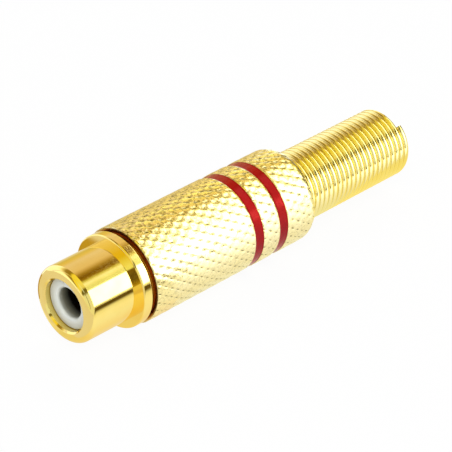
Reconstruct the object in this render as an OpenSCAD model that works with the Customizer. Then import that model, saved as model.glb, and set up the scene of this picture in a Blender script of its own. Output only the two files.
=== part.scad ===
// In-line phono socket for a cable: a turned socket, a knurled screw-on cover and a coil-spring cable relief.
// It lies along X. The origin is the middle of the mating face, the socket opens towards -X,
// and the cable leaves towards +X.

/* [Socket] */
// Outside diameter of the contact collar that the plug's shell grips
collar_d = 8.3; // [7.9:0.1:9]
// Length of the collar, from the mating face to the flange
collar_len = 6.3; // [5:0.1:8]
// Radius of the collar's rounded outer rim
rim_round = 0.7; // [0.2:0.05:0.9]
// Bevel of the socket's mouth
mouth_bevel = 0.2; // [0.05:0.05:0.4]
// Diameter of the bore through the collar
socket_bore_d = 5.6; // [5.2:0.1:6]
// Diameter of the flange behind the collar
flange_d = 10.16; // [9.8:0.02:11]
// Thickness of the flange
flange_t = 1.05; // [0.8:0.05:2]
// Radius of the flange's rounded front edge
nose_round = 0.65; // [0.1:0.05:0.9]

/* [Screw joint] */
// Pitch of the thread
thread_pitch = 0.75; // [0.5:0.05:1]
// Turns of thread that the cover takes
thread_turns = 6; // [5:1:8]
// Gap left between the flange and the cover when it is screwed up
shut_gap = 0.6; // [0.1:0.05:0.8]
// Counterbore in the spigot for the insulators
seat_d = 6.8; // [6.4:0.1:7]
// Length of the rolled lip that shuts the spigot
lip_len = 1.05; // [0.8:0.05:1.4]
// Height of the rolled lip
lip_h = 0.3; // [0.15:0.05:0.35]

/* [Insulation] */
// How far the insulator's face lies behind the mating face
face_recess = 0.75; // [0.4:0.05:1.5]
// Diameter of the insulator's pin hole
pin_hole_d = 3.3; // [3.25:0.05:3.7]
// Radius of the pin hole's rounded mouth
hole_round = 0.3; // [0.1:0.05:0.5]
// Length of the insulator's wide head
head_len = 2; // [1.4:0.1:2.4]
// Thickness of the rear insulating washer
washer_t = 1; // [0.6:0.1:1.2]
// Wall of the insulating sleeve inside the cover
liner_wall = 0.4; // [0.25:0.05:0.5]

/* [Centre contact] */
// Bore of the contact, which grips the plug's pin
contact_bore_d = 3.2; // [3.1:0.02:3.24]
// Wall of the contact
contact_wall = 0.4; // [0.3:0.05:0.6]
// How far the contact starts behind the insulator's face
contact_recess = 1.55; // [1:0.05:2]
// Thickness of the web that closes the contact
web_t = 1; // [0.6:0.1:1.5]
// Width of the slots that let the contact spring open
slot_w = 0.3; // [0.2:0.05:0.5]
// Length of the slots
slot_len = 4.8; // [3:0.1:5]
// Diameter of the solder tail
tail_d = 2.4; // [2:0.1:2.8]
// How far the tail stands out behind the spigot
tail_len = 4; // [3.5:0.1:5]
// Bore of the solder cup
cup_d = 1.6; // [1.2:0.1:1.8]
// Length of the solder cup
cup_len = 2.6; // [1.5:0.1:3]

/* [Ground lug] */
// Thickness of the lug's sheet
lug_t = 0.4; // [0.3:0.05:0.45]
// Width of the lug's strip
lug_w = 2.8; // [2:0.1:2.9]
// Hole in the lug's ring, clear of the tail
lug_hole_d = 3.8; // [3.4:0.1:4]
// How far the strip reaches behind the spigot
lug_reach = 13.5; // [12:0.5:13.5]
// Length of the cable clamp at its end
clamp_len = 5; // [3:0.5:6]
// Room between the cable clamp and the sleeve around it, on the radius
lug_room = 0.62; // [0.4:0.02:0.8]
// Height of the clamp's wings above the cable's middle
wing_h = 1.2; // [0.2:0.1:1.8]
// Diameter of the eye that the screen is soldered through
eye_d = 1; // [0.6:0.1:1.4]

/* [Cover] */
// Diameter over the tips of the knurl
cover_d = 10.44; // [10.3:0.02:11.2]
// Length of the cover
cover_len = 23.15; // [22.9:0.05:28]
// Wall left between the bands' grooves and the cover's bore, which sets the size of the spigot's thread
cover_wall = 0.47; // [0.4:0.01:0.6]
// Radius of the rounded rear edge
rear_round = 1.1; // [0.8:0.05:1.15]
// Length of the hole that the spring leaves through
hole_len = 1.5; // [1.2:0.1:2]
// How much that hole widens towards its rear mouth, on the radius
hole_flare = 0.02; // [0.01:0.01:0.05]

/* [Knurl] */
// Length of one diamond along the cover
knurl_len = 1.65; // [1.2:0.05:2.4]
// Width of one diamond around the cover
knurl_w = 1.09; // [0.9:0.01:1.6]
// Height of the diamonds
knurl_h = 0.2; // [0.1:0.01:0.24]

/* [Colour bands] */
// Width of each band
band_w = 1.2; // [0.8:0.05:1.6]
// Knurled stretch between the two bands
band_apart = 2.35; // [1.8:0.05:3]
// Knurled stretch between the second band and the cover's rear end
band_inset = 4.6; // [4:0.05:6]
// Depth of the bands' grooves under the tips of the knurl
groove_depth = 0.3; // [0.26:0.01:0.34]
// Depth of the bands' surface under the tips of the knurl
band_sink = 0.07; // [0.02:0.01:0.15]

/* [Spring] */
// Diameter of the wire
wire_d = 0.68; // [0.55:0.01:0.7]
// Gap between one turn and the next
turn_gap = 0.02; // [0.01:0.01:0.1]
// How far the coil stands out of the cover
coil_out = 15.8; // [10:0.1:20]
// Turns of the wide end that is held inside the cover
flare_turns = 1.5; // [1:0.25:2]
// How much the wide end stands out past the rest of the coil, on the radius
flare_rise = 0.45; // [0.4:0.01:0.6]
// Where around the coil its outer end is cut, seen along the axis
tip_angle = 130; // [0:5:355]

/* [Fits] */
// Play of the cover on the spigot's thread, on the radius
thread_play = 0.05; // [0.02:0.01:0.1]
// Play of the sleeve in the cover, on the radius
liner_play = 0.08; // [0.03:0.01:0.1]
// Play of the spring in the cover, on the radius and on its seat
coil_play = 0.08; // [0.04:0.01:0.1]
// Room around pieces that are pressed together, on the radius
press_gap = 0.02; // [0.01:0.01:0.04]
// Room between pieces that stand end to end inside the cover
end_gap = 0.3; // [0.1:0.05:0.5]

/* [Hidden] */

// Every round face is a true one at this setting
$fn = 96;
// How far a cutting shape runs past the face it opens
past = 0.5;

gold = [0.93, 0.74, 0.3];
bright_gold = [0.96, 0.8, 0.38];
white_plastic = [0.86, 0.88, 0.85];
brown_board = [0.45, 0.3, 0.18];
clear_plastic = [0.85, 0.87, 0.88];
red_lacquer = [0.72, 0.02, 0.09];

// Places along the axis, from the mating face
flange_end = collar_len + flange_t;
cover_x = flange_end + shut_gap;
spigot_end = cover_x + thread_turns * thread_pitch;
lug_x = spigot_end - lip_len - lug_t;
washer_x = lug_x - washer_t;
head_x = washer_x - head_len;
contact_x = face_recess + contact_recess;
tail_end = spigot_end + tail_len;
strip_end = spigot_end + lug_reach;
clamp_x = strip_end - clamp_len;
cover_end = cover_x + cover_len;
hole_x = cover_end - hole_len;
coil_end = cover_end + coil_out;
liner_x = spigot_end + end_gap;

// Radii
collar_r = collar_d / 2;
bore_r = socket_bore_d / 2;
seat_r = seat_d / 2;
cover_r = cover_d / 2;
core_r = cover_r - groove_depth;
cover_bore_r = core_r - cover_wall;
thread_r = cover_bore_r - thread_play;
// A 60 degree thread is about 0.6 of its pitch deep, and the neck before it is as deep
neck_r = thread_r - 0.6 * thread_pitch / 2;
contact_r = contact_bore_d / 2 + contact_wall;
tail_r = tail_d / 2;
liner_r = cover_bore_r - liner_play;
clamp_r = liner_r - liner_wall - lug_room - lug_t;
lip_r = seat_r - lip_h;
coil_r = cover_bore_r - coil_play - flare_rise;
hole_r = coil_r + coil_play;
wire_r = wire_d / 2;

// The spring: middle of the wire on the straight coil and on its wide end
turn_pitch = wire_d + turn_gap;
coil_mid = coil_r - wire_r;
flare_mid = cover_bore_r - coil_play - wire_r;
// The wide end narrows over one turn, and the cover's inner seat has the same slope
narrowing = flare_rise / turn_pitch;
seat_x = hole_x - turn_pitch;
seat_reach = (wire_r + coil_play) * sqrt(1 + pow(narrowing, 2));
narrow_x = seat_x - (seat_reach - wire_r - coil_play) / narrowing;
flare_x = narrow_x - flare_turns * turn_pitch;
liner_end = flare_x - wire_r - end_gap;

// Steps around one turn of the spring, and sides of its wire
turn_steps = 16;
wire_sides = 8;

// The diamonds around the cover, and a knurl point every half diamond
diamonds = round(PI * cover_d / knurl_w);
knurl_points = 2 * diamonds;

// A solid of revolution about X, from a section with the radius to the right and X upwards
module turned() {
    rotate([0, 90, 0])
        rotate_extrude()
            children();
}

// Section of a plain ring
module ring(inner, outer, from, to) {
    translate([inner, from])
        square([outer - inner, to - from]);
}

// Section of a disc with a rounded front edge
module rounded_disc(outer, edge, from, to) {
    ring(0, outer - edge, from, to);
    ring(0, outer, from + edge, to);
    translate([outer - edge, from + edge])
        intersection() {
            circle(edge);
            translate([0, -edge])
                square(edge);
        }
}

// Section of a bevel that opens a bore at its front face
module mouth(inner, edge, at) {
    polygon([[0, at - past], [inner + edge + past, at - past], [inner, at + edge], [0, at + edge]]);
}

// The collar, the flange and the threaded spigot, turned as one piece
module socket_shell() {
    color(gold)
        turned()
            difference() {
                union() {
                    rounded_disc(collar_r, rim_round, 0, collar_len + past);
                    rounded_disc(flange_d / 2, nose_round, collar_len, flange_end);
                    ring(0, neck_r, flange_end, spigot_end);
                    polygon([
                        [0, cover_x], [neck_r, cover_x], [thread_r, cover_x + thread_r - neck_r],
                        [thread_r, spigot_end - lip_h], [thread_r - lip_h, spigot_end], [0, spigot_end]
                    ]);
                }
                ring(0, bore_r, -past, head_x + past);
                mouth(bore_r, mouth_bevel, 0);
                ring(0, seat_r, head_x, spigot_end - lip_len);
                ring(0, lip_r, spigot_end - lip_len - past, spigot_end + past);
            }
}

// The pale moulding that carries the contact, with a wide head that stops against the shell
module front_insulator() {
    color(white_plastic)
        turned()
            difference() {
                union() {
                    rounded_disc(bore_r - press_gap, mouth_bevel / 2, face_recess, head_x + past);
                    ring(0, seat_r - press_gap, head_x, washer_x);
                }
                ring(0, pin_hole_d / 2, face_recess - past, contact_x + past);
                // The mouth is rounded: a square is cut out round the hole, less a quarter circle
                difference() {
                    ring(0, pin_hole_d / 2 + hole_round, face_recess - past, face_recess + hole_round);
                    translate([pin_hole_d / 2 + hole_round, face_recess + hole_round])
                        circle(hole_round);
                }
                ring(0, contact_r + press_gap, contact_x, washer_x + past);
            }
}

// The split sleeve that grips the plug's pin, with a cup for the inner wire at its far end
module centre_contact() {
    color(bright_gold)
        difference() {
            turned()
                difference() {
                    union() {
                        ring(0, contact_r, contact_x, washer_x);
                        ring(0, tail_r, washer_x - past, tail_end);
                    }
                    ring(0, contact_bore_d / 2, contact_x - past, washer_x - web_t);
                    ring(0, cup_d / 2, tail_end - cup_len, tail_end + past);
                }
            for (turn = [45, 135])
                rotate([turn, 0, 0])
                    translate([contact_x - past, -slot_w / 2, -tail_d * 2])
                        cube([slot_len + past, slot_w, tail_d * 4]);
            // The upper half of the cup is cut away so that the wire can be laid in
            translate([tail_end - cup_len * 0.8, -tail_d, 0])
                cube([cup_len + past, tail_d * 2, tail_d]);
        }
}

// The washer that closes the spigot behind the contact
module rear_insulator() {
    color(brown_board)
        turned()
            ring(tail_r + press_gap, seat_r - press_gap, washer_x, lug_x);
}

// The earth lug: a ring under the rolled lip, a stepped strip and a clamp for the cable, pressed from one sheet
module ground_lug() {
    // The strip leaves through the lip's hole with its lower corners just clear, then steps down to the clamp
    high = lug_t - sqrt(pow(lip_r - press_gap, 2) - pow(lug_w / 2, 2));
    low = -clamp_r;
    step_x = spigot_end + 0.8;
    step_len = high - low;
    color(gold) {
        difference() {
            union() {
                turned()
                    ring(lug_hole_d / 2, seat_r - press_gap, lug_x, lug_x + lug_t);
                rotate([90, 0, 0])
                    linear_extrude(lug_w, center = true)
                        polygon([
                            [lug_x, high], [step_x + lug_t / 2, high],
                            [step_x + lug_t / 2 + step_len, low], [strip_end, low],
                            [strip_end, low - lug_t], [step_x + step_len, low - lug_t],
                            [step_x, high - lug_t], [lug_x, high - lug_t]
                        ]);
            }
            translate([(step_x + clamp_x) / 2, 0, low - lug_t - past])
                cylinder(h = lug_t + 2 * past, d = eye_d);
        }
        difference() {
            turned()
                ring(clamp_r, clamp_r + lug_t, clamp_x, strip_end);
            translate([clamp_x - past, -2 * clamp_r, wing_h])
                cube([clamp_len + 2 * past, 4 * clamp_r, 2 * clamp_r]);
        }
    }
}

// The thin sleeve that keeps the soldered wires off the cover
module insulating_sleeve() {
    color(clear_plastic)
        turned()
            ring(liner_r - liner_wall, liner_r, liner_x, liner_end);
}

// Where a row of knurl points lies: along the cover, then round its rear edge.
// way is the distance from the front of the straight stretch, and deep the depth under the tips.
function knurl_place(way, straight, start, deep) =
    way <= straight
        ? [start + way, cover_r - deep]
        : let (bend = (way - straight) / rear_round * 180 / PI)
          [
              start + straight + (rear_round - deep) * sin(bend),
              cover_r - rear_round + (rear_round - deep) * cos(bend)
          ];

// A solid stretch of the knurl. Its points are a net of tips and hollows in turn, and every square
// of the net is folded along the line between its two hollows, which makes four-sided diamonds.
module knurled_stretch(start, length, bent) {
    straight = bent ? length - rear_round : length;
    way = bent ? straight + rear_round * PI / 2 : length;
    rows = max(2, round(way / (knurl_len / 2)));
    points = [
        for (row = [0:rows])
            for (k = [0:knurl_points - 1])
                let (
                    hollow = (row + k) % 2 == 1 && !(bent && row == rows),
                    at = knurl_place(way * row / rows, straight, start, hollow ? knurl_h : 0),
                    turn = 360 * k / knurl_points
                )
                [at[0], at[1] * cos(turn), at[1] * sin(turn)]
    ];
    faces = [
        [for (k = [0:knurl_points - 1]) k],
        [for (k = [0:knurl_points - 1]) rows * knurl_points + knurl_points - 1 - k],
        for (row = [0:rows - 1])
            for (k = [0:knurl_points - 1])
                let (
                    a = row * knurl_points + k,
                    b = row * knurl_points + (k + 1) % knurl_points,
                    c = b + knurl_points,
                    d = a + knurl_points
                )
                each (row + k) % 2 == 1 ? [[a, c, b], [a, d, c]] : [[a, d, b], [b, d, c]]
    ];
    polyhedron(points, faces);
}

rear_band_x = cover_end - band_inset - band_w;
front_band_x = rear_band_x - band_apart - band_w;

// The screw-on cover: three knurled stretches on a plain core, bored through, with a seat for the spring
module knurled_cover() {
    color(gold)
        difference() {
            union() {
                turned()
                    ring(0, core_r, cover_x, hole_x);
                knurled_stretch(cover_x, front_band_x - cover_x, false);
                knurled_stretch(front_band_x + band_w, band_apart, false);
                knurled_stretch(rear_band_x + band_w, band_inset, true);
            }
            turned()
                polygon([
                    [0, cover_x - past], [cover_bore_r, cover_x - past], [cover_bore_r, seat_x],
                    [hole_r, hole_x], [hole_r + hole_flare, cover_end],
                    [hole_r + hole_flare, cover_end + past], [0, cover_end + past]
                ]);
        }
}

// A lacquered band that fills its groove almost up to the knurl
module colour_band(at) {
    color(red_lacquer)
        turned()
            ring(core_r, cover_r - band_sink, at, at + band_w);
}

// Middle of the wire at a place along the axis
function wire_mid(x) =
    x < narrow_x ? flare_mid : max(coil_mid, flare_mid - narrowing * (x - narrow_x));

// The close-wound, left-hand coil. Its wide inner end is trapped in front of the cover's seat.
module relief_spring() {
    last_x = coil_end - wire_r;
    steps = floor((last_x - flare_x) / turn_pitch * turn_steps);
    points = [
        for (i = [0:steps])
            let (
                left = steps - i,
                x = last_x - turn_pitch * left / turn_steps,
                mid = wire_mid(x),
                turn = tip_angle + 360 * left / turn_steps
            )
            for (k = [0:wire_sides - 1])
                let (
                    side = 360 * k / wire_sides,
                    r = mid + wire_r * cos(side)
                )
                [x + wire_r * sin(side), r * cos(turn), r * sin(turn)]
    ];
    faces = [
        [for (k = [0:wire_sides - 1]) k],
        [for (k = [0:wire_sides - 1]) steps * wire_sides + wire_sides - 1 - k],
        for (i = [0:steps - 1])
            for (k = [0:wire_sides - 1])
                let (
                    a = i * wire_sides + k,
                    b = i * wire_sides + (k + 1) % wire_sides,
                    c = b + wire_sides,
                    d = a + wire_sides
                )
                each [[a, d, b], [b, d, c]]
    ];
    color(bright_gold)
        polyhedron(points, faces);
}

socket_shell();
front_insulator();
centre_contact();
rear_insulator();
ground_lug();
insulating_sleeve();
knurled_cover();
colour_band(front_band_x);  // front_band
colour_band(rear_band_x);  // rear_band
relief_spring();
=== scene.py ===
# %% [markdown]
# # An in-line phono socket
# The object is a gold-plated socket for a cable, lying on its knurled cover. Its CAD model is the frame: it
# is loaded first, and every finished piece here stands where its CAD solid stands. All sizes below are in
# millimetres, as a maker would write them, and become metres when a mesh is made. Sizes that the box of a
# CAD node gives are read from it.

# %% Load the frame
import cmath
import math

import bpy
import numpy as np
from mathutils import Matrix, Vector


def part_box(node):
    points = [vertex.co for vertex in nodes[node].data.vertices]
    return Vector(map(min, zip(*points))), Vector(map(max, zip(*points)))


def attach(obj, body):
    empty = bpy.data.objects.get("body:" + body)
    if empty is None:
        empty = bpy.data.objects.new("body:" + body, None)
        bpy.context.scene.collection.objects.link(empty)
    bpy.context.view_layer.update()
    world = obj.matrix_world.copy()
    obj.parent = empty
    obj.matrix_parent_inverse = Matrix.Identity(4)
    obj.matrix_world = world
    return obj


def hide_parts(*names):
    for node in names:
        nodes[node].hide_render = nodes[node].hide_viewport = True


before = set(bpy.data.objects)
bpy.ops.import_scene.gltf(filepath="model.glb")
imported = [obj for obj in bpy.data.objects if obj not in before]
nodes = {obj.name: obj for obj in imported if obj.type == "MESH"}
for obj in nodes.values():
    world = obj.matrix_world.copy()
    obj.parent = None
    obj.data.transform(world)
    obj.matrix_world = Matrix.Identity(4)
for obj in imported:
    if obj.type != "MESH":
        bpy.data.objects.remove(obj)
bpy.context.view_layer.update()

MM = 0.001


def span(node):
    """Where a CAD node starts and ends along X, and its radius."""
    low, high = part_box(node)
    return [round(size / MM, 3) for size in (low[0], high[0], -low[2])]


for name in sorted(nodes):
    print(f"{name}: from {span(name)[0]} to {span(name)[1]} mm along the axis")

# %% [markdown]
# ## One class for all node trees
# Materials and Geometry Nodes are both trees of nodes. Placing them by hand in code takes many lines, so
# one small class wraps an output of a node, so that a formula is written as Python arithmetic and each
# operator adds its Math node. A second class adds a node of any kind: its settings are set first, because
# they can change its sockets, and then its values or links.

# %% Wires
class Wire:
    """One output of a node. Arithmetic on it adds Math nodes to its tree."""

    def __init__(self, tree, socket):
        self.tree, self.socket = tree, socket

    def math(self, operation, *values, clamp=False):
        settings = {"operation": operation, "use_clamp": clamp}
        return self.tree.add("ShaderNodeMath", settings, dict(enumerate(values)))

    def __add__(self, other):
        return self.math("ADD", self, other)

    def __sub__(self, other):
        return self.math("SUBTRACT", self, other)

    def __rsub__(self, other):
        return self.math("SUBTRACT", other, self)

    def __mul__(self, other):
        return self.math("MULTIPLY", self, other)

    def __truediv__(self, other):
        return self.math("DIVIDE", self, other)

    def __rtruediv__(self, other):
        return self.math("DIVIDE", other, self)

    def __pow__(self, other):
        return self.math("POWER", self, other)

    __radd__, __rmul__ = __add__, __mul__

    def least(self, other):
        return self.math("MINIMUM", self, other)

    def most(self, other):
        return self.math("MAXIMUM", self, other)

    def limited(self):
        return self.math("ADD", self, 0.0, clamp=True)

    def rising(self, start, gain):
        """0 up to a start, and from there growing to 1 by a gain."""
        return ((self - start) * gain).limited()

    def zigzag(self):
        """0 at whole numbers and 1 halfway between them."""
        return self.math("PINGPONG", self, 0.5) * 2.0


print("wires ready")

# %% Trees
class Tree:
    """A node tree that is written as formulas."""

    def __init__(self, tree):
        self.tree = tree
        tree.nodes.clear()

    def add(self, kind, settings=None, values=None, output=0):
        """Adds a node: settings first, then the values or links of its inputs."""
        node = self.tree.nodes.new(kind)
        for name, value in (settings or {}).items():
            setattr(node, name, value)
        for key, value in (values or {}).items():
            if isinstance(value, Wire):
                self.tree.links.new(value.socket, node.inputs[key])
            else:
                node.inputs[key].default_value = value
        return Wire(self, node.outputs[output]) if node.outputs else node

    def other(self, wire, output):
        """Another output of the node that a wire comes from."""
        return Wire(self, wire.socket.node.outputs[output])

    def parts(self, vector):
        """The X, Y and Z of a vector."""
        split = self.add("ShaderNodeSeparateXYZ", None, {0: vector})
        return split, self.other(split, "Y"), self.other(split, "Z")

    def mark(self, label, output="Fac"):
        """What a shader reads at the points of the mesh, by its name."""
        return self.add("ShaderNodeAttribute", {"attribute_name": label}, output=output)

    def mixed(self, share, first, second):
        """A colour between two, by a share from 0 to 1."""
        settings = {"data_type": "RGBA", "clamp_factor": True}
        return self.add("ShaderNodeMix", settings, {0: share, 6: first, 7: second}, output=2)


print("trees ready")

# %% [markdown]
# ## Turned pieces
# The collar, the insulator and the bands come off a lathe, so each is a section that is turned round the X
# axis. The section is drawn as corners with the radius of their rounding. A real edge is never knife sharp,
# and the small rounding is what catches the light. A row of points close beside each rounding keeps the
# smooth shading from spilling over the long faces.

# %% Sections
ROUND_STEPS = 9
# How far a supporting row lies from a rounding: a share of its radius, and at most this much. It needs room.
SUPPORT_SHARE, SUPPORT_MOST, SUPPORT_ROOM = 0.4, 0.06, 2.5


def softened(corners):
    """A closed section from corners (x, radius, rounding). Gives complex points, x + radius * 1j."""
    points = [complex(x, r) for x, r, _ in corners]
    line = []
    for i, (_, _, soft) in enumerate(corners):
        here, before, after = points[i], points[i - 1], points[(i + 1) % len(points)]
        if not soft:
            line.append(here)
            continue
        back, on = (before - here) / abs(before - here), (after - here) / abs(after - here)
        half = abs(cmath.phase(on / back)) / 2
        reach = soft / math.tan(half)
        centre = here + (back + on) / abs(back + on) * soft / math.sin(half)
        start, end = here + back * reach, here + on * reach
        sweep = cmath.phase((end - centre) / (start - centre))
        turns = [cmath.exp(1j * sweep * k / ROUND_STEPS) for k in range(ROUND_STEPS + 1)]
        support = min(SUPPORT_SHARE * soft, SUPPORT_MOST)
        if abs(before - here) > reach + SUPPORT_ROOM * support:
            line.append(start + back * support)
        line += [centre + (start - centre) * turn for turn in turns]
        if abs(after - here) > reach + SUPPORT_ROOM * support:
            line.append(end + on * support)
    return line


print("a rounding has", ROUND_STEPS + 1, "points")

# %% Lathe
# An edge stays sharp in the shading where the section turns by more than this at one point
SHARP_TURN = math.radians(50)


def turned(name, line, steps, marks=None):
    """A closed mesh from a closed section turned round X, with faces outwards. marks are values of the
    rows."""
    line = np.array(line)
    marks = {key: np.array(values, float) for key, values in (marks or {}).items()}
    ahead = np.roll(line, -1)
    if np.sum(line.real * ahead.imag - ahead.real * line.imag) > 0:
        line = line[::-1]
        marks = {key: values[::-1] for key, values in marks.items()}
    rows = len(line)
    angle = np.arange(steps) * 2 * math.pi / steps
    points = np.empty((rows, steps, 3))
    points[:, :, 0] = line.real[:, None]
    points[:, :, 1] = line.imag[:, None] * np.cos(angle)
    points[:, :, 2] = line.imag[:, None] * np.sin(angle)
    row, turn = np.meshgrid(np.arange(rows), np.arange(steps), indexing="ij")
    row_on, turn_on = (row + 1) % rows, (turn + 1) % steps
    faces = np.stack(
        [row * steps + turn, row * steps + turn_on, row_on * steps + turn_on, row_on * steps + turn], -1
    )
    mesh = bpy.data.meshes.new(name)
    mesh.from_pydata((points * MM).reshape(-1, 3), [], faces.reshape(-1, 4))
    bend = np.abs(np.angle((np.roll(line, -1) - line) / (line - np.roll(line, 1))))
    ends = np.empty(len(mesh.edges) * 2, int)
    mesh.edges.foreach_get("vertices", ends)
    ends = ends.reshape(-1, 2) // steps
    sharp = (ends[:, 0] == ends[:, 1]) & (bend[ends[:, 0]] > SHARP_TURN)
    mesh.attributes.new("sharp_edge", "BOOLEAN", "EDGE").data.foreach_set("value", sharp)
    mesh.shade_smooth()
    for key, values in marks.items():
        layer = mesh.attributes.new(key, "FLOAT", "POINT")
        layer.data.foreach_set("value", np.repeat(values, steps).astype(np.float32))
    return mesh


def piece(name, mesh, body, replaced, material=None):
    """A finished piece: its mesh, the body it rides on and the CAD node it stands for."""
    made = bpy.data.objects.new(name, mesh)
    bpy.context.scene.collection.objects.link(made)
    if material:
        mesh.materials.append(material)
    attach(made, body)
    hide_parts(replaced)
    print(f"{name}: {len(mesh.polygons)} faces, {len(mesh.vertices)} points")


print("lathe ready")

# %% [markdown]
# ## Pieces that follow a rule
# The knurl, the screw threads and the wound spring repeat by a rule, so Geometry Nodes make them. Each tree
# has named inputs for its sizes. The tree runs once, its result becomes a plain mesh and the modifier goes,
# because the exported model can only hold plain meshes.

# %% Geometry trees
def geometry_tree(name, numbers, counts=()):
    """A new Geometry Nodes tree with named inputs, and its input wires by name."""
    group = bpy.data.node_groups.new(name, "GeometryNodeTree")
    kinds = {
        "Geometry": "NodeSocketGeometry", **dict.fromkeys(numbers, "NodeSocketFloat"),
        **dict.fromkeys(counts, "NodeSocketInt"), "Material": "NodeSocketMaterial",
    }
    for label, kind in kinds.items():
        group.interface.new_socket(label, in_out="INPUT", socket_type=kind)
    group.interface.new_socket("Geometry", in_out="OUTPUT", socket_type="NodeSocketGeometry")
    tree = Tree(group)
    first = tree.add("NodeGroupInput", output="Geometry")
    return tree, {label: tree.other(first, label) for label in kinds}


def row_value(tree, label):
    """What a geometry tree reads at the points of the mesh, by its name."""
    return tree.add("GeometryNodeInputNamedAttribute", {"data_type": "FLOAT"}, {"Name": label})


def moved(tree, geometry, x, y, z):
    """A geometry with each point set to a new place."""
    place = tree.add("ShaderNodeCombineXYZ", None, {"X": x, "Y": y, "Z": z})
    return tree.add("GeometryNodeSetPosition", None, {"Geometry": geometry, "Position": place})


def closed_tree(tree, geometry, material):
    """Ends a tree in Realize Instances and Set Material."""
    real = tree.add("GeometryNodeRealizeInstances", None, {"Geometry": geometry})
    made = tree.add("GeometryNodeSetMaterial", None, {"Geometry": real, "Material": material})
    tree.add("NodeGroupOutput", None, {"Geometry": made})
    print(f"{tree.tree.name}: {len(tree.tree.nodes)} nodes")
    return tree.tree


def grown(mesh, *steps):
    """Runs geometry trees, each with its input values, on a mesh and gives the plain mesh that results."""
    carrier = bpy.data.objects.new("carrier", mesh)
    bpy.context.scene.collection.objects.link(carrier)
    for group, values in steps:
        modifier = carrier.modifiers.new(group.name, "NODES")
        modifier.node_group = group
        for socket in group.interface.items_tree:
            if socket.in_out == "INPUT" and socket.name in values:
                modifier[socket.identifier] = values[socket.name]
    depsgraph = bpy.context.evaluated_depsgraph_get()
    result = bpy.data.meshes.new_from_object(
        carrier.evaluated_get(depsgraph), preserve_all_data_layers=True, depsgraph=depsgraph
    )
    carrier.modifiers.clear()
    bpy.data.objects.remove(carrier)
    return result


print("geometry helpers ready")

# %% [markdown]
# ## A base for all finishes
# What makes a finish real is that it is never quite even. Each one here starts from the same shader and
# reads Object coordinates, which stay on the piece when it moves. Noise of the right size then changes its
# colour, its roughness and its fine relief. What is the same all over the surface is set on the shader's
# own sockets.

# %% Finish helpers
def finish(name, **fixed):
    """A new material as a tree, with the shader's fixed values on its own sockets."""
    material = bpy.data.materials.new(name)
    material.use_nodes = True
    tree = Tree(material.node_tree)
    shader = tree.add("ShaderNodeBsdfPrincipled")
    for label, value in fixed.items():
        shader.socket.node.inputs[label.replace("_", " ")].default_value = value
    tree.add("ShaderNodeOutputMaterial", None, {"Surface": shader})
    place = tree.add("ShaderNodeTexCoord", output="Object")
    return material, tree, shader.socket.node, place


def link(tree, shader, **wires):
    """Links wires to the shader's sockets."""
    for label, wire in wires.items():
        tree.tree.links.new(wire.socket, shader.inputs[label.replace("_", " ")])


def speckle(tree, place, size, detail=2.0, stretch=(1, 1, 1)):
    """Noise from 0 to 1, its grains about size millimetres across, stretched along an axis by its factor."""
    grain = tree.add(
        "ShaderNodeMapping", {"vector_type": "POINT"},
        {"Vector": place, "Scale": [1 / (size * MM * factor) for factor in stretch]},
    )
    return tree.add("ShaderNodeTexNoise", None, {"Vector": grain, "Scale": 1.0, "Detail": detail})


def bumped(tree, height, depth):
    """A normal from a height of 0 to 1, depth millimetres high."""
    return tree.add("ShaderNodeBump", None, {"Height": height, "Distance": depth * MM})


print("finish helpers ready")

# %% [markdown]
# ## Turned gold
# Gold plating is a metal whose colour comes from its reflection, so its shader needs little more than the
# right base colour and a low roughness. Turning leaves fine rings and hands leave smudges. Where the mesh
# is marked, or in front of the washer on the contact, the gold is painted brown or black: painted shade in
# gaps, bores and the pin hole.

# %% Golds
GOLD = (0.97, 0.765, 0.225)
RICH_GOLD = (0.93, 0.69, 0.16)
PALE_GOLD = (0.98, 0.83, 0.36)
# Painted shade: brown in the gaps and bores, near black on the contact deep in the pin hole
PAINTED_SHADE_BROWN = (0.45, 0.17, 0.012)
CONTACT_SHADE_BLACK = (0.05, 0.03, 0.01)

FACE_X, WASHER_X, _ = span("front_insulator")


def gold_finish(name, base, second, rough, ring_depth, dark=PAINTED_SHADE_BROWN, dark_before=None):
    """Turned and plated metal: smudges in its gloss, a drift of colour and rings from the lathe. Painted
    shade makes it dark where the mesh is marked for it, or in front of a place along the axis."""
    material, tree, shader, place = finish(name, Metallic=1.0)
    if dark_before is None:
        shade_share = tree.mark("painted_shade")
    else:
        along, _, _ = tree.parts(place)
        shade_share = along.math("LESS_THAN", along, dark_before * MM)
    drift = speckle(tree, place, 3.0)
    smudge = speckle(tree, place, 1.1, detail=4.0)
    rings = speckle(tree, place, 0.05, detail=3.0, stretch=(1, 60, 60))
    colour = tree.mixed(drift.rising(0.45, 2.5), (*base, 1), (*second, 1))
    # Painted shade: the gold turns dark by this share
    colour = tree.mixed(shade_share, colour, (*dark, 1))
    gloss = (smudge - 0.5) * rough * 0.7 + (rings - 0.5) * rough * 0.5 + rough + shade_share * 0.3
    link(tree, shader, Base_Color=colour, Roughness=gloss.most(0.04))
    link(tree, shader, Normal=bumped(tree, rings, ring_depth))
    return material


POLISHED = gold_finish("polished_gold", GOLD, RICH_GOLD, rough=0.075, ring_depth=0.0006)
# The contact is painted near black in front of the washer: painted shade deep in the pin hole
CONTACT_GOLD = gold_finish(
    "contact_gold", GOLD, RICH_GOLD, rough=0.24, ring_depth=0.001, dark=CONTACT_SHADE_BLACK, dark_before=WASHER_X
)
LUG_GOLD = gold_finish("lug_gold", GOLD, PALE_GOLD, rough=0.28, ring_depth=0.001)
print("golds ready")

# %% [markdown]
# ## Knurled gold
# A knurling tool presses the metal and tears it a little. The tips of the diamonds get rubbed bright and the
# flanks keep a speckle. Towards the hollows the flanks darken and the pits are painted near black: painted
# shade. The mesh holds the height of the knurl at each point, so the colours follow its shape with no
# picture. The side that lies up is more speckled.

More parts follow.
